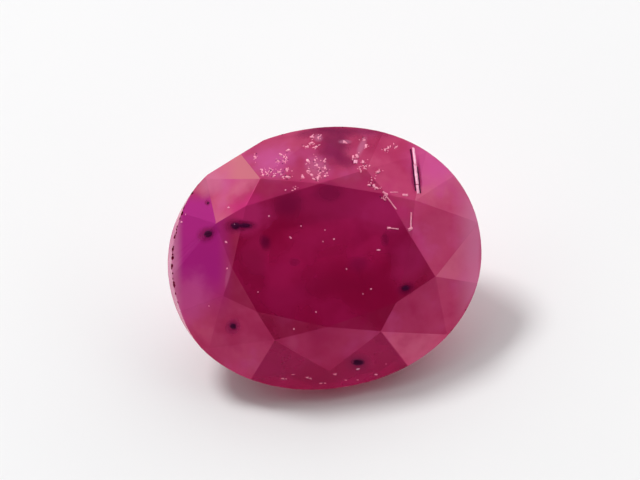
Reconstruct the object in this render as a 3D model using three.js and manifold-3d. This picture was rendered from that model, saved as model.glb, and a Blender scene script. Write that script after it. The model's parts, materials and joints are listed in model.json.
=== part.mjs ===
// A loose oval ruby, cut by hand: a crown of kites, stars and girdle facets around a table, a thin girdle,
// and a stepped pavilion that ends in a keel. It is one solid, ground facet by facet from an oval blank.
// Millimetres, +Z up. The stone lies on the long pavilion facet of its -Y side, so its long axis runs
// along X and its table leans towards -Y. The origin is under the middle of the stone, on that surface.
import * as THREE from "three";
import { mergeVertices } from "three/addons/utils/BufferGeometryUtils.js";
import Module from "manifold-3d";

const wasm = await Module();
wasm.setup();

// Driving dimensions: the outline at the girdle, and the heights above and below it.
const LENGTH = 11.0;
const WIDTH = 9.1;
const OUTLINE_POWER = 2.08; // 2 is a true ellipse, more is a fuller oval
const OUTLINE_POINTS = 96;
const GIRDLE_THICKNESS = 0.4;
const CROWN_HEIGHT = 1.35;

// Crown. Radii are shares of the outline, azimuths are degrees from the +X end, seen from above the table.
// Hand cutting leaves each kite a little out of step, so each has its own azimuth and its own tips. The star
// after each kite reaches down from the table by starDrop, a share of the crown's height.
const KITES = [
  { azimuth: 4, tableRadius: 0.565, tipRadius: 1, starDrop: 0.18 },
  { azimuth: 41.5, tableRadius: 0.605, tipRadius: 1, starDrop: 0.165 },
  { azimuth: 85, tableRadius: 0.57, tipRadius: 0.94, starDrop: 0.19 },
  { azimuth: 131, tableRadius: 0.655, tipRadius: 1, starDrop: 0.19 },
  { azimuth: 176, tableRadius: 0.585, tipRadius: 1, starDrop: 0.17 },
  { azimuth: 213, tableRadius: 0.57, tipRadius: 0.97, starDrop: 0.14 },
  { azimuth: 264, tableRadius: 0.52, tipRadius: 0.86, starDrop: 0.14 },
  { azimuth: 313, tableRadius: 0.58, tipRadius: 1, starDrop: 0.19 },
];
const GIRDLE_FLAT = { azimuth: 116, radius: 0.985 }; // the outline is ground a little flat here

// Pavilion. Each step starts where the one above it ends. Its angle is the slope on the stone's broad side.
const STEPS = [
  { sides: 16, innerRadius: 0.84, angle: 57 },
  { sides: 8, innerRadius: 0.28, angle: 41 },
  { sides: 8, innerRadius: 0, angle: 34 },
];
const KEEL_HALF = 0.16; // half of the keel's length, as a share of the stone's half length
const REST_STEP = 1; // the step whose facet at REST_AZIMUTH the stone lies on
const REST_AZIMUTH = 270;

const HALF_LENGTH = LENGTH / 2;
const HALF_WIDTH = WIDTH / 2;
const GIRDLE_TOP = GIRDLE_THICKNESS / 2;
const TABLE_HEIGHT = GIRDLE_TOP + CROWN_HEIGHT;
const BLOCK = 4 * LENGTH; // a grinding block large enough to take off everything past a facet
const CENTRE = new THREE.Vector3();

// A point in the stone's own frame, from its share of the outline, its azimuth and its height.
function place(radius, azimuth, height) {
  const angle = THREE.MathUtils.degToRad(azimuth);
  return new THREE.Vector3(
    HALF_LENGTH * radius * Math.cos(angle),
    HALF_WIDTH * radius * Math.sin(angle),
    height,
  );
}

// A facet is a plane through three points, with its normal pointing out of the stone.
function facetThrough(a, b, c) {
  const plane = new THREE.Plane().setFromCoplanarPoints(a, b, c);
  return plane.distanceToPoint(CENTRE) > 0 ? plane.negate() : plane;
}

// A facet square to its azimuth, through two points of the stone's profile there.
function facetAcross(azimuth, inner, outer) {
  const low = place(outer.radius, azimuth, outer.height);
  const high = place(inner.radius, azimuth, inner.height);
  const along = place(1, azimuth + 90, 0).add(low);
  return facetThrough(low, high, along);
}

// The corner that three facets share.
function cornerOf(p, q, r) {
  const rows = new THREE.Matrix3().set(
    ...p.normal.toArray(),
    ...q.normal.toArray(),
    ...r.normal.toArray(),
  );
  return new THREE.Vector3(-p.constant, -q.constant, -r.constant).applyMatrix3(rows.invert());
}

// A closed three.js geometry as a solid that can be cut.
function solidOf(geometry) {
  geometry.deleteAttribute("normal");
  geometry.deleteAttribute("uv");
  const merged = mergeVertices(geometry);
  return new wasm.Manifold(
    new wasm.Mesh({
      numProp: 3,
      vertProperties: merged.getAttribute("position").array,
      triVerts: new Uint32Array(merged.index.array),
    }),
  );
}

function geometryOf(solid) {
  const mesh = solid.getMesh();
  const geometry = new THREE.BufferGeometry();
  geometry.setAttribute("position", new THREE.BufferAttribute(mesh.vertProperties, 3));
  geometry.setIndex(new THREE.BufferAttribute(mesh.triVerts, 1));
  geometry.computeVertexNormals();
  return geometry;
}

// The oval blank: the girdle's outline, as tall as the crown and pavilion need.
function ovalBlank(depth) {
  const bend = 2 / OUTLINE_POWER;
  const points = Array.from({ length: OUTLINE_POINTS }, (_, i) => {
    const angle = (2 * Math.PI * i) / OUTLINE_POINTS;
    const [c, s] = [Math.cos(angle), Math.sin(angle)];
    return new THREE.Vector2(
      HALF_LENGTH * Math.sign(c) * Math.abs(c) ** bend,
      HALF_WIDTH * Math.sign(s) * Math.abs(s) ** bend,
    );
  });
  const blank = new THREE.ExtrudeGeometry(new THREE.Shape(points), {
    depth: TABLE_HEIGHT + depth,
    bevelEnabled: false,
  });
  return solidOf(blank.translate(0, 0, -depth));
}

// Grinds one facet: takes off what lies past its plane.
function grind(stone, facet) {
  const block = new THREE.BoxGeometry(BLOCK, BLOCK, BLOCK).translate(0, 0, BLOCK / 2);
  const turn = new THREE.Quaternion().setFromUnitVectors(new THREE.Vector3(0, 0, 1), facet.normal);
  block.applyQuaternion(turn).translate(...facet.coplanarPoint(new THREE.Vector3()).toArray());
  return stone.subtract(solidOf(block));
}

// The crown: eight kites from table to girdle, a star between each two, and a pair of girdle facets
// under each star.
function crownFacets() {
  const up = new THREE.Vector3(0, 0, 1);
  const kites = KITES.map(({ azimuth, tableRadius, tipRadius, starDrop }) => {
    const rise = CROWN_HEIGHT / (1 - tableRadius);
    return {
      starLevel: new THREE.Plane(up, starDrop * CROWN_HEIGHT - TABLE_HEIGHT),
      corner: place(tableRadius, azimuth, TABLE_HEIGHT),
      tip: place(tipRadius, azimuth, GIRDLE_TOP + rise * (1 - tipRadius)),
      facet: facetAcross(
        azimuth,
        { radius: tableRadius, height: TABLE_HEIGHT },
        { radius: 1, height: GIRDLE_TOP },
      ),
    };
  });
  const facets = kites.map((kite) => kite.facet);
  kites.forEach((kite, i) => {
    const next = kites[(i + 1) % kites.length];
    const star = cornerOf(kite.facet, next.facet, kite.starLevel);
    const azimuth = THREE.MathUtils.radToDeg(Math.atan2(star.y / HALF_WIDTH, star.x / HALF_LENGTH));
    const foot = place(1, azimuth, GIRDLE_TOP);
    facets.push(facetThrough(kite.corner, next.corner, star));
    facets.push(facetThrough(star, kite.tip, foot));
    facets.push(facetThrough(star, next.tip, foot));
  });
  return facets;
}

// A point of the pavilion's profile at an azimuth. The profile closes on the keel instead of on one point,
// so towards the ends of the stone every radius is moved out by its share of the keel.
function drawnToKeel({ radius, height }, azimuth) {
  const reach = KEEL_HALF * Math.abs(Math.cos(THREE.MathUtils.degToRad(azimuth)));
  return { radius: radius + reach * (1 - radius), height };
}

// The pavilion: steps of ever flatter facets, the last of them meeting in a keel along the long axis.
function pavilionSteps() {
  let outer = { radius: 1, height: -GIRDLE_TOP };
  return STEPS.map(({ sides, innerRadius, angle }) => {
    const start = outer;
    const fall = Math.tan(THREE.MathUtils.degToRad(angle)) * HALF_WIDTH;
    const end = { radius: innerRadius, height: start.height - fall * (start.radius - innerRadius) };
    const facets = Array.from({ length: sides }, (_, i) => {
      const azimuth = (360 * i) / sides;
      return facetAcross(azimuth, drawnToKeel(end, azimuth), drawnToKeel(start, azimuth));
    });
    outer = end;
    return { sides, facets, depth: -end.height };
  });
}

// The girdle's flat: one upright facet.
function girdleFlat({ azimuth, radius }) {
  return facetAcross(azimuth, { radius, height: GIRDLE_TOP }, { radius, height: -GIRDLE_TOP });
}

// The whole stone in its own frame, table up, and laid down on its resting facet.
const steps = pavilionSteps();
const depth = steps.at(-1).depth;
const facets = [girdleFlat(GIRDLE_FLAT), ...crownFacets(), ...steps.flatMap((step) => step.facets)];
const cut = facets.reduce(grind, ovalBlank(depth));

const ruby = new THREE.Mesh(
  geometryOf(cut),
  new THREE.MeshStandardMaterial({ color: "#8f1440", roughness: 0.12, metalness: 0, flatShading: true }),
);
ruby.name = "ruby";

const { sides, facets: restStep } = steps[REST_STEP];
const restFacet = restStep[(REST_AZIMUTH * sides) / 360];
const stone = new THREE.Group();
stone.add(ruby);
stone.quaternion.setFromUnitVectors(restFacet.normal, new THREE.Vector3(0, 0, -1));
stone.updateMatrixWorld(true);
const box = new THREE.Box3().setFromObject(stone, true);
const middle = box.getCenter(new THREE.Vector3());
stone.position.set(-middle.x, -middle.y, -box.min.z);

const part = new THREE.Group();
part.add(stone);
export default part;
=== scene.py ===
# %% [markdown]
# # A faceted oval ruby
#
# This lesson dresses one loose gemstone. The solid that comes in as the frame already has every facet
# at its real size, so the work here is on looks: softly worn edges, a nicked girdle, a body that
# swallows light as red corundum does, and the small crystals, grains and needles that grew inside it.
#
# The frame is loaded first.

# %% Load the frame
import json
import math
import random

import bmesh
import bpy
from mathutils import Matrix, Vector
from mathutils.bvhtree import BVHTree


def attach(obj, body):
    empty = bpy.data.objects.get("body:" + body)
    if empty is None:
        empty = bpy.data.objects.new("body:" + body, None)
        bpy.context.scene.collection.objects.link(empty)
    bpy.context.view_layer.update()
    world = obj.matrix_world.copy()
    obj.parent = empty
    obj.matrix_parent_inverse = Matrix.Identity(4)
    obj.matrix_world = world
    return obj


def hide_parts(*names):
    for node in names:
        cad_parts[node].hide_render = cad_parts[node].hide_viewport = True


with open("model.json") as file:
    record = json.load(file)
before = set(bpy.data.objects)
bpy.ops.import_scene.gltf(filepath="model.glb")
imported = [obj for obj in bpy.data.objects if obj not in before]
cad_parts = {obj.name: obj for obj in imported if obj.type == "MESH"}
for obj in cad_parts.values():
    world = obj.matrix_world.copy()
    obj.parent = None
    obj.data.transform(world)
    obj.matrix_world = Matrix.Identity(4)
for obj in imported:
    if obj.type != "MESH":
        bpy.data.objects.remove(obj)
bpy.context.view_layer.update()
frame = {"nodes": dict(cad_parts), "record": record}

MM = 0.001

# %% [markdown]
# ## The stone's own axes
#
# The stone lies on a facet of its pavilion, so its table leans. Everything on it is easier to place in
# a frame of its own: x along the oval, y across it, z out of the table, with the origin in the middle
# of the girdle. The record says where the table is and which way it faces, so nothing has to be
# measured again.

# %% The stone's own axes
LENGTH = 11.0 * MM
WIDTH = 9.1 * MM
TABLE_HEIGHT = 1.55 * MM

table = next(m for m in frame["record"]["mounts"] if m["name"] == "table")
stone_z = Vector(table["axis"]).normalized()
stone_x = Vector((1, 0, 0))
stone_y = stone_z.cross(stone_x)
stone_middle = Vector(table["pos_m"]) - TABLE_HEIGHT * stone_z
print("table leans", round(math.degrees(stone_z.angle(Vector((0, 0, 1)))), 1), "degrees")

# %% [markdown]
# ## The camera
#
# The stone is looked at square to its table, and its long axis rises a little to the right. A long lens
# from some way off keeps the facets from spreading. The camera is built from three directions: right,
# up and back.

# %% The camera
IMAGE_WIDTH = 640
IMAGE_HEIGHT = 480
PIXELS_PER_MM = 28.64
OVAL_TILT = math.radians(9.7)
OVAL_MIDDLE = (324.4, 258.2)
CAMERA_DISTANCE = 150 * MM
SENSOR = 36.0
CLIP_NEAR = 10 * MM
CLIP_FAR = 10.0

right = stone_x * math.cos(OVAL_TILT) - stone_y * math.sin(OVAL_TILT)
up = stone_x * math.sin(OVAL_TILT) + stone_y * math.cos(OVAL_TILT)
pixel = MM / PIXELS_PER_MM


def under_pixel(x, y):
    """The point of the girdle's plane that shows at a pixel of the picture."""
    return stone_middle + (x - OVAL_MIDDLE[0]) * pixel * right - (y - OVAL_MIDDLE[1]) * pixel * up


aim = under_pixel(IMAGE_WIDTH / 2, IMAGE_HEIGHT / 2)
camera_data = bpy.data.cameras.new("camera")
camera_data.sensor_width = SENSOR
camera_data.lens = SENSOR * CAMERA_DISTANCE / (IMAGE_WIDTH * pixel)
camera_data.clip_start = CLIP_NEAR
camera_data.clip_end = CLIP_FAR
camera = bpy.data.objects.new("camera", camera_data)
camera.matrix_world = Matrix((right, up, stone_z)).transposed().to_4x4()
camera.location = aim + CAMERA_DISTANCE * stone_z
bpy.context.scene.collection.objects.link(camera)
bpy.context.scene.camera = camera
print("lens", round(camera_data.lens, 1), "mm at", round(CAMERA_DISTANCE / MM), "mm")

# %% [markdown]
# ## The floor
#
# A plain pale sheet, large enough that its edges stay out of every view. Its finish comes later.

# %% The floor
FLOOR_HALF = 0.6
# A stone never lies on board without a film of air, and that film is what mirrors inside it.
AIR_GAP = 0.02 * MM

floor_mesh = bpy.data.meshes.new("floor")
corners = [(-1, -1), (1, -1), (1, 1), (-1, 1)]
floor_mesh.from_pydata([(FLOOR_HALF * x, FLOOR_HALF * y, -AIR_GAP) for x, y in corners], [], [(0, 1, 2, 3)])
floor = bpy.data.objects.new("floor", floor_mesh)
bpy.context.scene.collection.objects.link(floor)

# %% [markdown]
# ## Networks of nodes as sums
#
# A finish, the sky and a scatter of crystals are all small networks of nodes. Wiring each sum by hand
# hides what it means, so one class wraps a socket and lets plain Python operators add the Math nodes.
# Any other node comes from one method that takes its type, its settings and what goes into its sockets.

# %% A class for sockets and one for networks
class Wire:
    """One output socket, so that a sum on it can be written in Python."""

    def __init__(self, network, socket):
        self.network = network
        self.socket = socket

    def sum(self, operation, first, second):
        return self.network.add("ShaderNodeMath", {"operation": operation}, {0: first, 1: second})

    def __add__(self, other):
        return self.sum("ADD", self, other)

    def __radd__(self, other):
        return self.sum("ADD", other, self)

    def __sub__(self, other):
        return self.sum("SUBTRACT", self, other)

    def __rsub__(self, other):
        return self.sum("SUBTRACT", other, self)

    def __mul__(self, other):
        return self.sum("MULTIPLY", self, other)

    def __truediv__(self, other):
        return self.sum("DIVIDE", self, other)

    def __pow__(self, other):
        return self.sum("POWER", self, other)

    def __lt__(self, other):
        return self.sum("LESS_THAN", self, other)

    def between(self, low, high):
        """0 up to low and 1 from high on, with a soft step between. Low may be above high."""
        settings = {"interpolation_type": "SMOOTHSTEP"}
        sockets = {"Value": self, "From Min": low, "From Max": high}
        return self.network.add("ShaderNodeMapRange", settings, sockets)


class Network:
    """A network of nodes that is being made."""

    def __init__(self, tree):
        self.tree = tree
        self.tree.nodes.clear()

    def add(self, kind, settings=None, sockets=None, output=0):
        """Adds a node of a type, sets its settings, fills its sockets and returns one of its outputs."""
        node = self.tree.nodes.new(kind)
        for name, value in (settings or {}).items():
            setattr(node, name, value)
        for name, value in (sockets or {}).items():
            self.fill(node.inputs[name], value)
        return Wire(self, node.outputs[output]) if node.outputs else node

    def fill(self, socket, value):
        if isinstance(value, Wire):
            self.tree.links.new(value.socket, socket)
        elif socket.type == "RGBA":
            socket.default_value = (*value, 1)
        else:
            socket.default_value = value

    def dot(self, vector, axis):
        """How far a vector reaches along an axis."""
        settings = {"operation": "DOT_PRODUCT"}
        return self.add("ShaderNodeVectorMath", settings, {0: vector, 1: tuple(axis)}, "Value")


class Finish(Network):
    """A material that is being made, ending in one Principled surface."""

    def __init__(self, name):
        self.material = bpy.data.materials.new(name)
        self.material.use_nodes = True
        super().__init__(self.material.node_tree)
        self.place = self.add("ShaderNodeTexCoord", output="Object")

    def noise(self, size, detail=3.0):
        """A soft noise whose blots are about one size."""
        sockets = {"Vector": self.place, "Scale": 1 / size, "Detail": detail}
        return self.add("ShaderNodeTexNoise", None, sockets)

    def mix(self, share, first, second):
        """A colour that goes from the first to the second by a share."""
        return self.add("ShaderNodeMix", {"data_type": "RGBA"}, {0: share, 6: first, 7: second}, 2)

    def close(self, sockets, volume=None):
        """Ends the material, with plain absorption inside it where it is clear."""
        ends = {"Surface": self.add("ShaderNodeBsdfPrincipled", None, sockets)}
        if volume:
            ends["Volume"] = self.add("ShaderNodeVolumeAbsorption", None, volume)
        self.add("ShaderNodeOutputMaterial", None, ends)
        return self.material


print("a network can add any node, and a wire can be summed")

# %% [markdown]
# ## The studio around the stone
#
# A polished stone mirrors its whole surroundings, so most of the light is a soft sky: bright above,
# fair on the right, and dim on the side it is looked at from, because the table mirrors that side and
# would turn milky. One round lamp stands above and behind on the left. Its direction is one that no
# facet of the crown mirrors to the camera, so it lights the silk in the facets that lean its way and
# only the worn edges flash.

# %% The studio around the stone
SKY_DIM = 0.03
SKY_EVEN = 0.15
SKY_ABOVE = 0.85
SKY_RIGHT = 0.8
ABOVE_AZIMUTH = math.radians(105)
RIGHT_AZIMUTH = math.radians(5)
SKY_STEP = (0.1, 0.9)
DIM_CAP = (math.radians(28), math.radians(48))
LAMP_OFF_AXIS = math.radians(67)
LAMP_AZIMUTH = math.radians(120)
LAMP_DISTANCE = 0.5
LAMP_SIZE = 0.15
LAMP_POWER = 1.3


def in_view(azimuth, off_axis=math.pi / 2):
    """A direction by its angle from the table's axis, and its azimuth as the picture shows it."""
    aside = math.cos(azimuth) * right + math.sin(azimuth) * up
    return math.cos(off_axis) * stone_z + math.sin(off_axis) * aside


bpy.context.scene.view_settings.view_transform = "Standard"
world = bpy.data.worlds.new("studio")
bpy.context.scene.world = world
world.use_nodes = True
sky = Network(world.node_tree)
direction = sky.add("ShaderNodeTexCoord", output="Generated")
above = sky.dot(direction, in_view(ABOVE_AZIMUTH)).between(*SKY_STEP)
beside = sky.dot(direction, in_view(RIGHT_AZIMUTH)).between(*SKY_STEP)
aside = sky.dot(direction, stone_z).between(math.cos(DIM_CAP[0]), math.cos(DIM_CAP[1]))
strength = SKY_DIM + aside * (SKY_EVEN + above * SKY_ABOVE + beside * SKY_RIGHT)
background = sky.add("ShaderNodeBackground", None, {"Color": (1, 1, 1), "Strength": strength})
sky.add("ShaderNodeOutputWorld", None, {"Surface": background})

lamp_data = bpy.data.lights.new("lamp", "AREA")
lamp_data.shape = "DISK"
lamp_data.size = LAMP_SIZE
lamp_data.energy = LAMP_POWER
lamp = bpy.data.objects.new("lamp", lamp_data)
lamp_side = in_view(LAMP_AZIMUTH, LAMP_OFF_AXIS)
lamp.location = stone_middle + LAMP_DISTANCE * lamp_side
lamp.rotation_euler = lamp_side.to_track_quat("Z", "Y").to_euler()
bpy.context.scene.collection.objects.link(lamp)
print("lamp", round(math.degrees(math.asin(lamp_side.z))), "degrees above the floor")

# %% [markdown]
# ## The floor's finish
#
# Plain pale board: almost white, quite rough, with a very faint mottle so that it isn't one flat
# colour.

# %% The floor's finish
BOARD_DULL = (0.84, 0.84, 0.85)
BOARD_PALE = (0.88, 0.88, 0.88)
BOARD_MOTTLE = 15 * MM

board = Finish("pale_board")
board_shade = board.mix(board.noise(BOARD_MOTTLE), BOARD_DULL, BOARD_PALE)
floor_mesh.materials.append(board.close({"Base Color": board_shade, "Roughness": 0.8}))

# %% [markdown]
# ## The stone's worn edges
#
# The frame's mesh is loose triangles. A copy is merged, and its flat neighbours are joined again, so
# that each facet is one face. On the left the girdle isn't quite upright, and shows from above as a
# pale band: there the girdle's upper edge is drawn inwards along the crown. Facets of a used stone
# don't meet in a knife edge either. Polishing and wear leave a thin line of their own, which the Bevel
# modifier makes on every edge that is sharp.

# %% The stone's worn edges
MERGE = 0.02 * MM
FLAT = math.radians(0.6)
SHARP = math.radians(6)
WORN = 0.016 * MM
WORN_STEPS = 2
CROWN_TILT = math.radians(60)
GIRDLE_TILT = math.radians(100)
BAND = 0.16 * MM
BAND_AZIMUTH = math.radians(184)
BAND_REACH = (math.radians(34), math.radians(10))


def soft_step(value, low, high):
    """0 at low, 1 at high, and a soft step between, as Wire.between does in a network."""
    share = min(max((value - low) / (high - low), 0), 1)
    return share * share * (3 - 2 * share)


def mean_normal(faces):
    return sum((face.normal for face in faces), Vector()).normalized()


def sides_at(vert):
    """The faces of the crown and the faces of the girdle that meet at a corner."""
    tilts = [(face, face.normal.angle(stone_z)) for face in vert.link_faces]
    crown_faces = [face for face, tilt in tilts if tilt < CROWN_TILT]
    wall_faces = [face for face, tilt in tilts if CROWN_TILT < tilt < GIRDLE_TILT]
    return crown_faces, wall_faces


def azimuth_of(vert):
    """The azimuth of a corner, as the picture shows it."""
    reach = vert.co - stone_middle
    return math.atan2(reach.dot(up), reach.dot(right))


def drawn_in(vert):
    """How far a corner of the girdle's upper edge is drawn inwards, along the crown's slope."""
    crown_faces, wall_faces = sides_at(vert)
    turn = azimuth_of(vert) - BAND_AZIMUTH
    turn = abs((turn + math.pi) % (2 * math.pi) - math.pi)
    inwards = -mean_normal(wall_faces)
    slope = mean_normal(crown_faces)
    along = inwards - inwards.dot(slope) * slope
    return along * BAND * soft_step(turn, *BAND_REACH) / along.dot(inwards)


facets = bmesh.new()
facets.from_mesh(frame["nodes"]["ruby"].data)
bmesh.ops.remove_doubles(facets, verts=facets.verts, dist=MERGE)
bmesh.ops.dissolve_limit(facets, angle_limit=FLAT, verts=facets.verts, edges=facets.edges)
facets.normal_update()
edge_corners = sorted((vert for vert in facets.verts if all(sides_at(vert))), key=azimuth_of)
moves = [drawn_in(vert) for vert in edge_corners]
for vert, move in zip(edge_corners, moves):
    vert.co += move
upper_edge = [vert.co.copy() for vert in edge_corners]
cut_mesh = bpy.data.meshes.new("cut")
facets.to_mesh(cut_mesh)
facets.free()
stone = bpy.data.objects.new("stone", cut_mesh)
bpy.context.scene.collection.objects.link(stone)
worn = stone.modifiers.new("worn", "BEVEL")
worn.limit_method = "ANGLE"
worn.angle_limit = SHARP
worn.width = WORN
worn.segments = WORN_STEPS
worn.use_clamp_overlap = False
print("facets before wear:", len(cut_mesh.polygons))
print("corners on the girdle's upper edge:", len(upper_edge))

# %% [markdown]
# ## Nicks in the girdle
#
# The thin girdle is where a stone is hurt first, and this one is chipped along its left side. Geometry
# Nodes follow the girdle's upper edge: points along it that drift a little, a lump on those that a dice
# roll picks, and one boolean that takes the lumps out of the stone. The dice are loaded, so that most
# nicks are on the left. A number on the new faces remembers that they are broken and not polished.

# %% Nicks in the girdle
NICK_PLACES = 320
NICK_LEAST = 0.035 * MM
NICK_MOST = 0.11 * MM
NICK_SEED = 7
NICK_CHANCE = (0.03, 0.75)
NICK_DRIFT = 0.03 * MM
NICK_TURN = (6, 6, 6)  # radians about each axis, almost a full turn
NICK_AZIMUTH = math.radians(170)
NICK_REACH = (0.8, 0.93)


def scatter_tree(name, inputs):
    """An empty tree of Geometry Nodes with named inputs, and the wires that they come in by."""
    tree = bpy.data.node_groups.new(name, "GeometryNodeTree")
    tree.interface.new_socket("Geometry", in_out="OUTPUT", socket_type="NodeSocketGeometry")
    for label, kind in {"Geometry": "NodeSocketGeometry", **inputs}.items():
        tree.interface.new_socket(label, in_out="INPUT", socket_type=kind)
    network = Network(tree)
    start = tree.nodes.new("NodeGroupInput")
    return network, {label: Wire(network, start.outputs[label]) for label in ("Geometry", *inputs)}


def run_tree(piece, network, values):
    """Runs a tree on a piece, after its other modifiers, and keeps the result as its plain mesh."""
    modifier = piece.modifiers.new(network.tree.name, "NODES")
    modifier.node_group = network.tree
    for item in network.tree.interface.items_tree:
        if item.in_out == "INPUT" and item.name in values:
            modifier[item.identifier] = values[item.name]
    graph = bpy.context.evaluated_depsgraph_get()
    mesh = bpy.data.meshes.new_from_object(piece.evaluated_get(graph), depsgraph=graph)
    piece.modifiers.clear()
    piece.data = mesh
    mesh.name = piece.name
    return mesh


def whole(network, geometry, material):
    """Ends a tree: instances are made real and take their material."""
    real = network.add("GeometryNodeRealizeInstances", None, {0: geometry})
    dressed = network.add("GeometryNodeSetMaterial", None, {"Geometry": real, "Material": material})
    network.add("NodeGroupOutput", None, {"Geometry": dressed})


ruby = Finish("ruby_body")
edge_mesh = bpy.data.meshes.new("girdle_edge")
edge_mesh.from_pydata(upper_edge, [(i - 1, i) for i in range(1, len(upper_edge))], [])
edge_line = bpy.data.objects.new("girdle_edge", edge_mesh)
bpy.context.scene.collection.objects.link(edge_line)
nick_inputs = {
    "Edge": "NodeSocketObject",
    "Places": "NodeSocketInt",
    "Least": "NodeSocketFloat",
    "Most": "NodeSocketFloat",
    "Drift": "NodeSocketFloat",
    "Seed": "NodeSocketInt",
    "Material": "NodeSocketMaterial",
}
nicking, inlet = scatter_tree("nicked girdle", nick_inputs)
line = nicking.add("GeometryNodeObjectInfo", None, {"Object": inlet["Edge"]}, "Geometry")
curve = nicking.add("GeometryNodeMeshToCurve", None, {"Mesh": line})
even_spots = nicking.add("GeometryNodeCurveToPoints", None, {"Curve": curve, "Count": inlet["Places"]})
drift_way = nicking.add(
    "FunctionNodeRandomValue",
    {"data_type": "FLOAT_VECTOR"},
    {0: (-1, -1, -1), 1: (1, 1, 1), "Seed": inlet["Seed"]},
)
nick_drift = nicking.add(
    "ShaderNodeVectorMath", {"operation": "SCALE"}, {0: drift_way, "Scale": inlet["Drift"]}
)
spots = nicking.add("GeometryNodeSetPosition", None, {"Geometry": even_spots, "Offset": nick_drift})
roll = nicking.add("FunctionNodeRandomValue", None, {"Seed": inlet["Seed"]}, 1)
nick_side = in_view(NICK_AZIMUTH) / LENGTH * 2
leftward = nicking.dot(nicking.add("GeometryNodeInputPosition"), nick_side) - nick_side.dot(stone_middle)
chance = NICK_CHANCE[0] + leftward.between(*NICK_REACH) * (NICK_CHANCE[1] - NICK_CHANCE[0])
sizes = nicking.add(
    "FunctionNodeRandomValue", None, {2: inlet["Least"], 3: inlet["Most"], "Seed": inlet["Seed"]}, 1
)
lump = nicking.add("GeometryNodeMeshIcoSphere", None, {"Radius": 1.0, "Subdivisions": 1})
turns = nicking.add(
    "FunctionNodeRandomValue", {"data_type": "FLOAT_VECTOR"}, {1: NICK_TURN, "Seed": inlet["Seed"]}
)
lumps = nicking.add(
    "GeometryNodeInstanceOnPoints",
    None,
    {"Points": spots, "Selection": roll < chance, "Instance": lump, "Rotation": turns, "Scale": sizes},
)
real_lumps = nicking.add("GeometryNodeRealizeInstances", None, {0: lumps})
broken = nicking.add(
    "GeometryNodeStoreNamedAttribute",
    {"domain": "FACE"},
    {"Geometry": real_lumps, "Name": "broken", "Value": 1.0},
)
nicked = nicking.add(
    "GeometryNodeMeshBoolean",
    {"operation": "DIFFERENCE", "solver": "EXACT"},
    {"Mesh 1": inlet["Geometry"], "Mesh 2": broken, "Self Intersection": True},
)
whole(nicking, nicked, inlet["Material"])
nick_values = {
    "Edge": edge_line,
    "Places": NICK_PLACES,
    "Least": NICK_LEAST,
    "Most": NICK_MOST,
    "Drift": NICK_DRIFT,
    "Seed": NICK_SEED,
    "Material": ruby.material,
}
stone_mesh = run_tree(stone, nicking, nick_values)
bpy.data.objects.remove(edge_line)
stone_mesh.attributes.remove(stone_mesh.attributes["custom_normal"])
stone_mesh.shade_flat()
print("stone:", len(stone_mesh.polygons), "faces")

# %% [markdown]
# ## How much silk and painted light each facet shows
#
# Behind some facets the silk and the mirrors of the pavilion send more light back than behind others,
# and that light is painted into the base colour. A number on every face says how much: 0 is as deep as
# the middle of the table, 1 the palest pink. The crown is sorted into rings by tilt and by how far out a
# facet lies, and along a ring a facet is known by its azimuth. One facet on the upper left, above 1,
# mirrors so much light that it looks peach: a painted reflection. Two facets at the bottom are at 0,
# because they mirror the stone's shadow on the floor: painted shade. Broken faces are below 0.

# %% How much silk and painted light each facet shows
# Silk and painted light per facet. The 0 at 252.9 and 275.2 is painted shade, the stone's shadow that these
# facets mirror, and the 1.3 at 122.9 and the 1.0 at 350.7 are painted reflections.
KITE_SILK_AND_LIGHT = {4: 0.6, 41.5: 0.6, 85: 0.5, 131: 1.0, 176: 0.6, 213: 0.6, 264: 0.4, 313: 0.45}
STAR_SILK_AND_LIGHT = {17: 0.5, 67.5: 0.48, 98.7: 0.42, 161.3: 0.38, 196.7: 0.35, 244: 0.25, 281.7: 0.15, 340: 0.15}
GIRDLE_SILK_AND_LIGHT = {
    15.5: 0.85, 34.2: 0.9, 50.8: 0.65, 74: 0.4, 97.9: 0.5, 122.9: 1.3, 139.4: 0.6, 161.9: 0.6,
    184.4: 0.7, 203.5: 0.7, 223: 0.65, 252.9: 0.0, 275.2: 0.0, 303.4: 0.9, 325.2: 0.55, 350.7: 1.0,
}
TABLE_SILK_AND_LIGHT = 0.0
EDGE_SILK_AND_LIGHT = 1.0
PAVILION_SILK_AND_LIGHT = (0.05, 0.5)
AZIMUTH_WAVES = 11
TILT_WAVES = 23
BROKEN_SILK_AND_LIGHT = -0.5
TABLE_TILT = math.radians(5)
STAR_TILT = math.radians(24)
KITE_REACH = 0.85


def in_stone(point):
    """A point of the frame in the stone's own axes."""
    reach = point - stone_middle
    return Vector((reach.dot(stone_x), reach.dot(stone_y), reach.dot(stone_z)))


def nearest(ring, azimuth):
    """The silk and painted light of the facet of a ring whose azimuth is nearest."""
    return ring[min(ring, key=lambda known: abs((known - azimuth + 180) % 360 - 180))]


def pavilion_silk_and_light(tilt, azimuth):
    """The silk and painted light of a pavilion facet. Waves over both angles make it differ from its
    neighbours.
    """
    low, high = PAVILION_SILK_AND_LIGHT
    wave = math.sin(AZIMUTH_WAVES * azimuth + TILT_WAVES * tilt)
    return low + (high - low) * (0.5 + 0.5 * wave)


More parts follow.
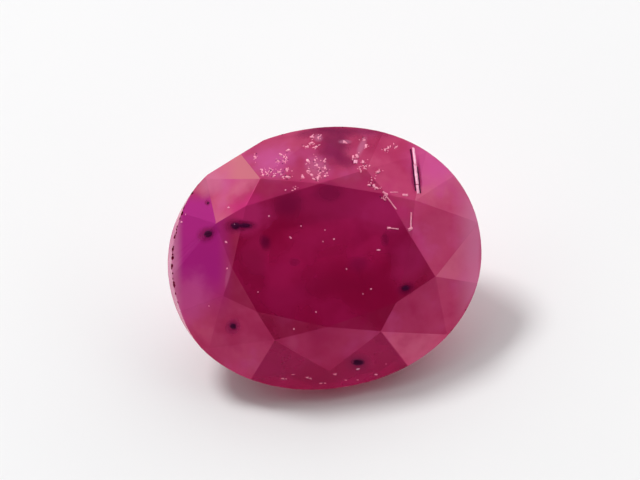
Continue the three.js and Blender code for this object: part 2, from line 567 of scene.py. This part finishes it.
def facet_silk_and_light(face):
    """The silk and painted light of a face by its tilt, its azimuth and how far out it lies."""
    tilt = face.normal.angle(stone_z)
    if tilt < TABLE_TILT:
        return TABLE_SILK_AND_LIGHT
    if CROWN_TILT < tilt < GIRDLE_TILT:
        return EDGE_SILK_AND_LIGHT
    leaning = (face.normal.dot(stone_y) * WIDTH, face.normal.dot(stone_x) * LENGTH)
    azimuth = math.degrees(math.atan2(*leaning)) % 360
    if tilt > GIRDLE_TILT:
        return pavilion_silk_and_light(tilt, math.radians(azimuth))
    if tilt < STAR_TILT:
        return nearest(STAR_SILK_AND_LIGHT, azimuth)
    middle = in_stone(face.calc_center_median_weighted())
    reach = math.hypot(middle.x / LENGTH, middle.y / WIDTH) * 2
    return nearest(KITE_SILK_AND_LIGHT if reach < KITE_REACH else GIRDLE_SILK_AND_LIGHT, azimuth)


faces = bmesh.new()
faces.from_mesh(stone_mesh)
silk = faces.faces.layers.float.new("silk")
broken_mark = faces.faces.layers.float.get("broken")
broken_count = 0
for face in faces.faces:
    is_broken = face[broken_mark] > 0.5
    face[silk] = BROKEN_SILK_AND_LIGHT if is_broken else facet_silk_and_light(face)
    broken_count += is_broken
print("broken faces:", broken_count)
faces.to_mesh(stone_mesh)
faces.free()

# %% [markdown]
# ## Ruby
#
# Red corundum is clear but far from clean here. Light that goes in loses its green first, then its
# blue, so the middle of the stone is a deep crimson. Fine silk throws some of the light back before it
# gets far, so the sloping facets, where the stone is thin, look paler and pinker than the table; that
# light, and what the pavilion's mirrors send back, is painted into each facet's base colour. One end
# grew more purple, and under the upper facets there are hazy patches, some dark and some pale; some of
# the dark ones are partly painted shadow.
#
# Plain transmission with absorption inside does the first. The rest is base colour: it follows the silk
# and painted light of a facet, the place on the oval, and three noises. A weak constant glow stands for
# ruby's own red fluorescence; it is brighter on facets with more silk and painted light.

# %% Where a place lies on the stone
CROWN_STEP = (0.0, 0.2)
CLOUD_SIZE = 2.2 * MM
CLOUD_DETAIL = 4.0
DRIFT_SIZE = 1.3 * MM
BLOT_SIZE = 0.5 * MM
NOISE_MEAN = 0.5
PATCH_RAGGED = 0.7
PATCH_STEP = (1.1, 0.3)

across = (ruby.dot(ruby.place, right) - right.dot(stone_middle)) / pixel + OVAL_MIDDLE[0]
down = OVAL_MIDDLE[1] - (ruby.dot(ruby.place, up) - up.dot(stone_middle)) / pixel
height = (ruby.dot(ruby.place, stone_z) - stone_z.dot(stone_middle)) / MM
crown = height.between(*CROWN_STEP)
silk_and_light_share = ruby.add("ShaderNodeAttribute", {"attribute_name": "silk"}, output="Fac")
cloud = ruby.noise(CLOUD_SIZE, CLOUD_DETAIL)
drift = ruby.noise(DRIFT_SIZE)
blot = ruby.noise(BLOT_SIZE)


def patch(x, y, half_width, half_height, turn=0.0):
    """1 in the middle of a soft oval on the crown, and 0 outside it, measured in picture pixels."""
    c = math.cos(math.radians(turn))
    s = math.sin(math.radians(turn))
    along = ((across - x) * c - (down - y) * s) / half_width
    aside = ((across - x) * s + (down - y) * c) / half_height
    away = (along * along + aside * aside) ** 0.5 + (blot - NOISE_MEAN) * PATCH_RAGGED
    return crown * away.between(*PATCH_STEP)


# %% Ruby's colours
CRIMSON = (0.44, 0.008, 0.085)
CRIMSON_CLOUD = (0.57, 0.016, 0.145)
BERRY = (0.9, 0.055, 0.33)
PINK = (0.8, 0.135, 0.28)
ROSE = (0.98, 0.3, 0.45)
PURPLE = (0.62, 0.035, 0.44)
ORCHID = (0.98, 0.2, 0.64)
LILAC = (1.0, 0.47, 0.76)
# A painted reflection, for the facet that mirrors the most light.
PEACH_REFLECTION = (1.0, 0.4, 0.42)
DUSK = (0.12, 0.005, 0.06)

# Each colour comes in over a soft step of the tone, the silk or a noise, and some only by a share.
TONE_EVEN = 0.2
TONE_CLOUD = 1.6
TONE_BLOT = 0.3
CLOUD_STEP = (0.4, 0.65)
PINK_STEP = (0.0, 0.85)
ROSE_STEP = (0.7, 1.15)
SILKY_AND_LIT_STEP = (0.1, 0.6)
ORCHID_STEP = (0.5, 0.7)
CRIMSON_STEP = (0.5, 0.3)
DRIFT_SHARE = 0.45
BROKEN_STEP = (-0.1, -0.4)
BROKEN_SHARE = 0.7

tone = silk_and_light_share * (TONE_EVEN + cloud * TONE_CLOUD) + (blot - NOISE_MEAN) * TONE_BLOT
body = ruby.mix(cloud.between(*CLOUD_STEP), CRIMSON, CRIMSON_CLOUD)
body = ruby.mix(tone.between(*PINK_STEP), body, PINK)
body = ruby.mix(tone.between(*ROSE_STEP), body, ROSE)
silky_and_lit = crown * silk_and_light_share.between(*SILKY_AND_LIT_STEP)
body = ruby.mix(drift.between(*ORCHID_STEP) * silky_and_lit * DRIFT_SHARE, body, ORCHID)
body = ruby.mix(drift.between(*CRIMSON_STEP) * silky_and_lit * DRIFT_SHARE, body, CRIMSON)
body = ruby.mix(silk_and_light_share.between(*BROKEN_STEP) * BROKEN_SHARE, body, DUSK)

# %% [markdown]
# ## The purple end and the tinted patches
#
# The purple end keeps to facets with some silk and painted light, and fades towards the middle of the
# stone and towards its upper and lower rims. Then soft patches tint the crown where it is paler or warmer
# than its facet, each with a colour, a share, a place and two half sizes, and some with a turn.

# %% The purple end and the tinted patches
PURPLE_ACROSS = (238, 216)
PURPLE_BOTTOM = (325, 270)
PURPLE_TOP = (188, 205)
PURPLE_SILK_AND_LIGHT = (0.1, 0.5)
PURPLE_SILK_AND_LIGHT_TOP = (0.95, 0.75)
TINTS = {
    "over the table's upper side": (BERRY, 0.36, 335, 200, 95, 28),
    "left of the middle": (BERRY, 0.2, 255, 255, 18, 26),
    "around the dark pair": (BERRY, 0.85, 249, 215, 28, 24, 30),
    "upper left rim": (ROSE, 0.7, 203, 187, 11, 13),
    "beside that rim": (LILAC, 0.35, 213, 184, 18, 16),
    "below the table": (PINK, 0.5, 293, 342, 7, 8),
    "table, upper right": (BERRY, 0.5, 385, 215, 34, 22),
    "table, right": (BERRY, 0.4, 408, 262, 20, 34, -20),
    "left field": (ORCHID, 0.6, 272, 162, 26, 22),
    "middle field": (LILAC, 0.3, 317, 168, 14, 15),
    "right of the long needle": (ORCHID, 0.7, 432, 165, 28, 36, 40),
    "lower left": (ORCHID, 0.7, 190, 300, 24, 34, -20),
}

purple_end = across.between(*PURPLE_ACROSS) * down.between(*PURPLE_BOTTOM) * down.between(*PURPLE_TOP)
purple_end = purple_end * silk_and_light_share.between(*PURPLE_SILK_AND_LIGHT) * silk_and_light_share.between(*PURPLE_SILK_AND_LIGHT_TOP)
body = ruby.mix(purple_end, body, PURPLE)
for tint, share, *place in TINTS.values():
    body = ruby.mix(patch(*place) * share, body, tint)
print("tinted patches:", len(TINTS))

# %% [markdown]
# ## The pale rim and the painted peach reflection
#
# At both ends of the oval the rim is thin and looks lilac. On the left that is the band of the girdle.
# The facet whose silk and painted light is above 1 turns peach: a painted reflection of the light it
# mirrors.

# %% The pale rim and the painted peach reflection
RIM_SILK_AND_LIGHT = (0.1, 0.4)
RIM_SHARE = 0.9
RIGHT_RIM = (450, 478)
LEFT_RIM = (185, 172)
LEFT_HEIGHT = (-0.3, -0.1)
PEACH_REFLECTION_STEP = (1.05, 1.25)
PEACH_REFLECTION_ACROSS = (215, 240)

whole_rim = crown * silk_and_light_share.between(*RIM_SILK_AND_LIGHT)
body = ruby.mix(across.between(*RIGHT_RIM) * whole_rim * RIM_SHARE, body, LILAC)
left_band = height.between(*LEFT_HEIGHT) * silk_and_light_share.between(*RIM_SILK_AND_LIGHT)
body = ruby.mix(across.between(*LEFT_RIM) * left_band * RIM_SHARE, body, LILAC)
# Painted reflection: the upper left facet that mirrors the most light is painted peach.
body = ruby.mix(silk_and_light_share.between(*PEACH_REFLECTION_STEP) * across.between(*PEACH_REFLECTION_ACROSS), body, PEACH_REFLECTION)

# %% [markdown]
# ## Hazy patches and painted shadow
#
# Deeper inclusions show only as haze. Dark haze is mixed in first and pale haze over it, each with a
# share, a place and two half sizes, and some with a turn. The dark patch under the upper rim is painted
# shadow, and the smear and its end are partly painted shadow and partly haze.

# %% Hazy patches and painted shadow
PALE_HAZE = {
    "beside the smear": (0.45, 361, 148, 4, 15, -22),
    "along the upper rim": (0.4, 345, 142, 8, 2.5),
    "over the middle field": (0.45, 318, 138, 6, 5),
    "right of the purple end": (0.25, 228.5, 276, 2.5, 13, -10),
}
# Dark haze and painted shadow: the patch under the upper rim is a painted shadow, and the smear and its end
# are partly painted shadow.
DARK_HAZE_AND_SHADOW = {
    "under the upper rim": (0.75, 335, 127, 85, 14),
    "smear": (0.75, 333, 146, 19, 25, -20),
    "end of the smear": (0.65, 344, 160, 15, 9, -20),
    "left star": (0.5, 289, 205, 18, 15),
    "upper star": (0.35, 328, 193, 19, 12),
    "right of the middle": (0.35, 358, 264, 13, 9),
    "near the right star": (0.45, 384, 239, 5, 8),
    "left of the middle": (0.8, 266, 241.5, 7, 8.5),
    "middle": (0.4, 295, 262, 6, 5),
}
for share, *place in DARK_HAZE_AND_SHADOW.values():
    body = ruby.mix(patch(*place) * share, body, DUSK)
for share, *place in PALE_HAZE.values():
    body = ruby.mix(patch(*place) * share, body, LILAC)
print("hazy patches:", len(PALE_HAZE) + len(DARK_HAZE_AND_SHADOW))

# %% [markdown]
# ## Where a pixel meets the stone
#
# The marks on the crown were seen in the picture, so each is noted where it shows there. A line from
# the camera through that pixel meets the stone at the mark's real place, and the facet's normal there
# says how it lies. So a mark sits on its facet from every side, and not only from the front.

# %% Where a pixel meets the stone
HALF_SUNK = 0.5

stone_tree = BVHTree.FromPolygons(
    [v.co for v in stone_mesh.vertices], [list(face.vertices) for face in stone_mesh.polygons]
)


def meet(x, y):
    """The place on the stone that shows at a pixel, and the normal there."""
    view = under_pixel(x, y) - camera.location
    place, normal, _, _ = stone_tree.ray_cast(camera.location, view.normalized())
    return place, normal


class Mark:
    """A small crystal in the surface: its place, its turn, and half sizes along, across and inwards."""

    def __init__(self, x, y, half_length, half_width, turn=0.0, sunk=HALF_SUNK, flat=1.0):
        place, normal = meet(x, y)
        lean = math.cos(math.radians(turn)) * right + math.sin(math.radians(turn)) * up
        along = lean - lean.dot(normal) / stone_z.dot(normal) * stone_z
        thick = flat * min(half_length, half_width)
        self.size = Vector((half_length * along.length, half_width, thick)) * pixel
        along.normalize()
        self.place = place - sunk * self.size.z * normal
        self.turn = Matrix((along, normal.cross(along), normal)).transposed().to_euler()


def marks_piece(name, marks):
    """A piece with one point for each mark, which a tree can put crystals on."""
    mesh = bpy.data.meshes.new(name)
    mesh.from_pydata([mark.place for mark in marks], [], [])
    for label in ("size", "turn"):
        values = [tuple(getattr(mark, label)) for mark in marks]
        layer = mesh.attributes.new(label, "FLOAT_VECTOR", "POINT")
        layer.data.foreach_set("vector", [number for value in values for number in value])
    piece = bpy.data.objects.new(name, mesh)
    bpy.context.scene.collection.objects.link(piece)
    return piece


# %% [markdown]
# ## A tree that puts crystals on marks
#
# All the inclusions are one kind of thing: a small crystal at each mark, with its own size and turn.
# One function builds the tree for a lump or for a six sided prism. After the crystals are made real, a
# noise pushes their points about by a share of their own size, so no two are alike.

# %% A tree that puts crystals on marks
LUMP = ("GeometryNodeMeshIcoSphere", {"Radius": 1.0, "Subdivisions": 3})
SMALL_LUMP = ("GeometryNodeMeshIcoSphere", {"Radius": 1.0, "Subdivisions": 2})
GRAIN = ("GeometryNodeMeshIcoSphere", {"Radius": 1.0, "Subdivisions": 1})
PRISM = ("GeometryNodeMeshCylinder", {"Vertices": 6, "Side Segments": 10, "Radius": 1.0, "Depth": 2.0})
BUMP_SIZE = 0.12 * MM


def crystals(name, marks, shape, material, rough, seed):
    """A finished piece with a crystal on each mark."""
    inputs = {"Rough": "NodeSocketFloat", "Seed": "NodeSocketFloat", "Material": "NodeSocketMaterial"}
    growing, inlet = scatter_tree(name + " tree", inputs)

    def own(label):
        settings = {"data_type": "FLOAT_VECTOR"}
        return growing.add("GeometryNodeInputNamedAttribute", settings, {"Name": label})

    kind, sizes = shape
    one = growing.add(kind, None, sizes)
    laid = growing.add("GeometryNodeTransform", None, {"Geometry": one, "Rotation": (0, math.pi / 2, 0)})
    many = growing.add(
        "GeometryNodeInstanceOnPoints",
        None,
        {"Points": inlet["Geometry"], "Instance": laid, "Rotation": own("turn"), "Scale": own("size")},
    )
    real = growing.add("GeometryNodeRealizeInstances", None, {0: many})
    girth = growing.dot(own("size"), (0, 0, 1))
    where = growing.add("GeometryNodeInputPosition")
    scaled = growing.add(
        "ShaderNodeVectorMath", {"operation": "SCALE"}, {0: where, "Scale": 1.0 / BUMP_SIZE}
    )
    noise = growing.add(
        "ShaderNodeTexNoise", {"noise_dimensions": "4D"}, {"Vector": scaled, "W": inlet["Seed"]}, 1
    )
    even = growing.add("ShaderNodeVectorMath", {"operation": "SUBTRACT"}, {0: noise, 1: (NOISE_MEAN,) * 3})
    push = growing.add(
        "ShaderNodeVectorMath", {"operation": "SCALE"}, {0: even, "Scale": girth * inlet["Rough"]}
    )
    rough_ones = growing.add("GeometryNodeSetPosition", None, {"Geometry": real, "Offset": push})
    whole(growing, rough_ones, inlet["Material"])
    piece = marks_piece(name, marks)
    mesh = run_tree(piece, growing, {"Rough": rough, "Seed": float(seed), "Material": material})
    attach(piece, "root")
    print(name + ":", len(marks), "crystals,", len(mesh.polygons), "faces")


# %% [markdown]
# ## Dark crystals
#
# A handful of dark crystals were caught in the ruby while it grew, and polishing reached them, so they
# show as small almost black spots with a soft edge. Each is a lump most of the way into its facet. The
# soft edge is the ruby's own colour going dusky around it.

# %% Dark crystals
DARK_CRYSTALS = {
    "left end": (208.5, 234, 5.5, 4.2, 25),
    "pair, left": (235.5, 226, 5.5, 4.2, 0),
    "pair, right": (245.5, 225.5, 6.5, 2.8, 0),
    "lower left": (233, 326, 4.4, 4.2, 0),
    "right": (405.5, 288, 4.6, 3.4, 10),
    "lower edge": (358, 362.5, 7, 4.8, -8),
    "over the first kite": (208, 203, 1.6, 1.6, 40),
}
DARK_SUNK = 0.7
DARK_FLAT = 0.5
DARK_ROUGH = 0.9
DARK_SEED = 3
HALO = 2.2
HALO_SHARE = 0.75
STAIN_DEEP = (0.03, 0.001, 0.018)
STAIN_PALE = (0.085, 0.003, 0.045)
STAIN_MOTTLE = 0.15 * MM

stain = Finish("dark_crystal")
stain_shade = stain.mix(stain.noise(STAIN_MOTTLE), STAIN_DEEP, STAIN_PALE)
stain.close({"Base Color": stain_shade, "Roughness": 0.6, "Specular IOR Level": 0.04})
for x, y, half_length, half_width, turn in DARK_CRYSTALS.values():
    halo = patch(x, y, HALO * half_length, HALO * half_width, turn)
    body = ruby.mix(halo * HALO_SHARE, body, DUSK)
dark_marks = [Mark(*mark, sunk=DARK_SUNK, flat=DARK_FLAT) for mark in DARK_CRYSTALS.values()]
crystals("dark_crystals", dark_marks, LUMP, stain.material, DARK_ROUGH, DARK_SEED)

# %% [markdown]
# ## Pinpoints
#
# Scattered specks of pale mineral catch the light, mostly in the table. They are placed one by one,
# because there are few of them, and get their sizes and turns from a seeded draw. Four flecks have
# sizes of their own. The last pinpoint and the third fleck, near the lower edge, are painted
# reflections and not mineral.

# %% Pinpoints
# The last pinpoint, at 386 by 364, is a painted reflection.
PINPOINTS = (
    (290, 237), (301, 226), (325, 230), (334, 239), (323, 241.5), (346.5, 269), (371, 289), (363, 294),
    (258, 292), (316, 312), (294, 329), (285.5, 190), (226, 242), (227, 268.5), (209, 306), (234.5, 224.5),
    (228.5, 207.5), (185.5, 214.5), (181.5, 222), (269, 216), (386, 364),
)
PINPOINT_HALF = (0.5, 1.05)
PINPOINT_STRETCH = (1, 1.5)
PINPOINT_ROUGH = 0.8
PINPOINT_SEED = 5
# The fleck at 376 by 374.5 is a painted reflection.
FLECKS = (
    (378.5, 250, 2.6, 0.9, 0), (358, 369, 2.4, 1.2, 10), (376, 374.5, 2, 1.1, 0), (291, 238, 1, 1, 0),
)
ANY_TURN = (0, 180)
DRAW_SEED = 11
SPECK_DULL = (0.82, 0.22, 0.4)
SPECK_PALE = (0.95, 0.5, 0.68)
PALE_MOTTLE = 0.1 * MM

draw = random.Random(DRAW_SEED)
speck = Finish("pale_speck")
speck_shade = speck.mix(speck.noise(PALE_MOTTLE), SPECK_DULL, SPECK_PALE)
# The weak emission is painted light: it stands in for light that barely reaches the specks inside the
# stone.
speck.close({
    "Base Color": speck_shade,
    "Roughness": 0.35,
    "Emission Color": (1.0, 0.3, 0.5),
    "Emission Strength": 0.06,
})
pinpoint_marks = []
for x, y in PINPOINTS:
    half = draw.uniform(*PINPOINT_HALF)
    length = half * draw.uniform(*PINPOINT_STRETCH)
    pinpoint_marks.append(Mark(x, y, length, half, draw.uniform(*ANY_TURN)))
pinpoint_marks += [Mark(*fleck) for fleck in FLECKS]
crystals("pinpoints", pinpoint_marks, SMALL_LUMP, speck.material, PINPOINT_ROUGH, PINPOINT_SEED)

# %% [markdown]
# ## Fields of grains
#
# In the upper facets, pale grains lie in fields with straight sides, along old growth planes of the
# crystal. Inside a field they sit in clumps: one large grain, a handful of small ones around it, and
# two dark ones between them. The clumps are noted by their places, and the same seeded draw decides the
# number, the drift, the sizes and the turns of the grains. A row of pale flecks near the lower edge is
# noted one by one; these flecks are painted reflections, not grains.

# %% Fields of grains
CLUMPS = {
    "left field": (
        (263, 175), (267, 173), (274, 176), (271, 172), (279, 172), (283, 177), (288, 177),
        (287, 170), (284, 157), (281, 155), (285, 162), (278, 161), (262, 170), (255, 157),
        (288, 150),
    ),
    "middle field": (
        (307, 147), (311, 143), (316, 147), (318, 138), (312, 137), (308, 161), (315, 160),
        (317, 165), (309, 171), (312, 175), (314, 179), (318, 178), (320, 173), (325, 176),
        (327, 173), (324, 161), (325, 168), (303, 177),
    ),
    "right field": (
        (363, 162), (366, 166), (357, 156), (353, 157), (371, 183), (374, 186), (377, 188),
        (369, 185), (378, 172), (364, 140), (366, 146), (345, 142), (388, 148), (396, 147),
        (385, 150), (295, 189), (360, 169), (384, 199),
    ),
}
# A row of painted reflections near the lower edge, drawn as pale flecks.
LOWER_REFLECTIONS = (
    (282.5, 378.4, 3.2, 1.9), (286, 378.8, 2, 1.4), (293, 374.5, 3, 0.8), (307, 377.5, 3, 2.2),
    (310, 378.5, 2.4, 1.8), (321, 383.4, 3, 1.5), (325, 383.2, 2, 1.2), (335, 374.2, 3, 2.1),
    (346, 380, 2.8, 1.3), (357.5, 380, 2.4, 1.2),
)
CLUMP_DRIFT = 1.9
CLUMP_GRAINS = (3, 7)
CLUMP_PITS = 2
LARGE_GRAIN = (0.9, 2.1)
SMALL_GRAIN = (0.35, 0.85)
STRETCH = (1.0, 2.4)
PIT = (0.5, 1.0)
LOW_SUNK = 0.7
GRAIN_ROUGH = 0.9
GRAIN_SEED = 8
PIT_SEED = 9
GRAIN_DULL = (0.7, 0.08, 0.22)
GRAIN_PALE = (0.98, 0.5, 0.64)

grain = Finish("pale_grain")
grain_shade = grain.mix(grain.noise(PALE_MOTTLE), GRAIN_DULL, GRAIN_PALE)
# The weak emission is painted light: it stands in for light that barely reaches the grains inside the
# stone.
grain.close({
    "Base Color": grain_shade,
    "Roughness": 0.4,
    "Emission Color": (1.0, 0.22, 0.42),
    "Emission Strength": 0.06,
})


def grain_mark(x, y, halves, spread=None, sunk=HALF_SUNK):
    """A grain with a drawn size, stretch and turn, and with a spread a drawn place too."""
    half = draw.uniform(*halves)
    if spread:
        x = draw.gauss(x, spread)
        y = draw.gauss(y, spread)
    length = half * draw.uniform(*STRETCH)
    return Mark(x, y, length, half, draw.uniform(*ANY_TURN), sunk)


grain_and_reflection_marks = []
pit_marks = []
for x, y in [clump for field in CLUMPS.values() for clump in field]:
    grain_and_reflection_marks.append(grain_mark(x, y, LARGE_GRAIN))
    for _ in range(draw.randint(*CLUMP_GRAINS)):
        grain_and_reflection_marks.append(grain_mark(x, y, SMALL_GRAIN, CLUMP_DRIFT))
    for _ in range(CLUMP_PITS):
        pit_marks.append(grain_mark(x, y, PIT, CLUMP_DRIFT, LOW_SUNK))
# The painted reflections join the grains' piece.
grain_and_reflection_marks += [Mark(*fleck, sunk=LOW_SUNK) for fleck in LOWER_REFLECTIONS]
crystals("grains", grain_and_reflection_marks, GRAIN, grain.material, GRAIN_ROUGH, GRAIN_SEED)
crystals("dark_grains", pit_marks, GRAIN, stain.material, GRAIN_ROUGH, PIT_SEED)

# %% [markdown]
# ## Needles
#
# A few long crystals lie in the crown. The longest is broken in two places and has dark sides, where
# the ruby has parted from it: a dark sliver on each side, and the ruby's own colour going dusky around
# them. It also lies along a worn facet edge, so its pale colour is partly a painted glint of that edge.
# Fainter needles and flecks lie below it. Prisms are the shape that such needles grow in.

# %% Needles
NEEDLES_AND_GLINT = {
    # The long needle's pale colour is partly a painted glint of the worn facet edge that it lies along.
    "long, upper": (414.3, 156, 8.3, 1.4, 96),
    "long, middle": (416.2, 174.5, 9.9, 1.8, 96),
    "long, lower": (417.8, 189.5, 4.2, 1.7, 96),
    "white speck": (355.5, 161.8, 1.6, 2.1, 80),
}
FAINT_NEEDLES = {
    "slanting": (390, 201, 10.5, 0.7, 127),
    "slanting head": (385.3, 193.3, 3, 1.1, 150),
    "beside it": (394, 192.2, 4, 0.5, 0),
    "fleck": (405, 195, 2.8, 1.3, 0),
    "hanging": (411, 221, 8.5, 0.8, 88),
    "hanging end": (410.3, 228.8, 2.2, 1.7, 30),
    "level, end": (389, 228, 1.7, 1.1, 0),
    "level": (394.5, 228.6, 4, 0.6, -6),
    "pink fleck": (378, 171.8, 2.2, 1.2, 20),
}
DARK_NEEDLES = {
    "beside the long one, left": (413.2, 170, 21, 0.8, 96),
    "beside the long one, right": (418.9, 180, 13, 0.8, 96),
}
DARK_SIDES = ((413, 174, 3.2, 22), (418.6, 174, 2.6, 22), (352.6, 161.5, 2, 4))
SIDES_TURN = 4
SIDES_SHARE = 0.8
NEEDLE_SUNK = 0.4
NEEDLE_SEED = 2

for side in DARK_SIDES:
    body = ruby.mix(patch(*side, SIDES_TURN) * SIDES_SHARE, body, DUSK)
needle_pieces = (
    ("needles", NEEDLES_AND_GLINT, speck, 0.6),
    ("faint_needles", FAINT_NEEDLES, grain, 1.6),
    ("dark_needles", DARK_NEEDLES, stain, 0.9),
)
for name, needles, finish, rough in needle_pieces:
    needle_marks = [Mark(*mark, sunk=NEEDLE_SUNK) for mark in needles.values()]
    crystals(name, needle_marks, PRISM, finish.material, rough, NEEDLE_SEED)

# %% [markdown]
# ## The ruby's finish
#
# With its colours whole, the ruby can be closed. The base is a little rough, because the stone is
# sleepy: what is behind the table shows only as soft shapes. A weak coat over it adds a crisp polish.

# %% The ruby's finish
GLOW_DEEP = (0.25, 0.0, 0.03)
GLOW = (1.0, 0.01, 0.22)
ROUGH_LEAST = 0.14
ROUGH_CLOUD = 0.12

# The glow follows the silk and painted light of each facet.
glow = ruby.mix(silk_and_light_share.between(0.0, 1.0), GLOW_DEEP, GLOW)
ruby.close(
    {
        "Base Color": body,
        "Roughness": ROUGH_LEAST + cloud * ROUGH_CLOUD,
        "IOR": 1.77,
        "Specular IOR Level": 0.15,
        "Specular Tint": (1.0, 0.02, 0.34),
        "Transmission Weight": 0.6,
        "Coat Weight": 0.06,
        "Coat Roughness": 0.04,
        "Emission Color": glow,
        "Emission Strength": 0.1,
    },
    {"Color": (0.61, 0.0, 0.355), "Density": 200.0},
)
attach(stone, "root")
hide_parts("ruby")
print("materials:", [material.name for material in bpy.data.materials])
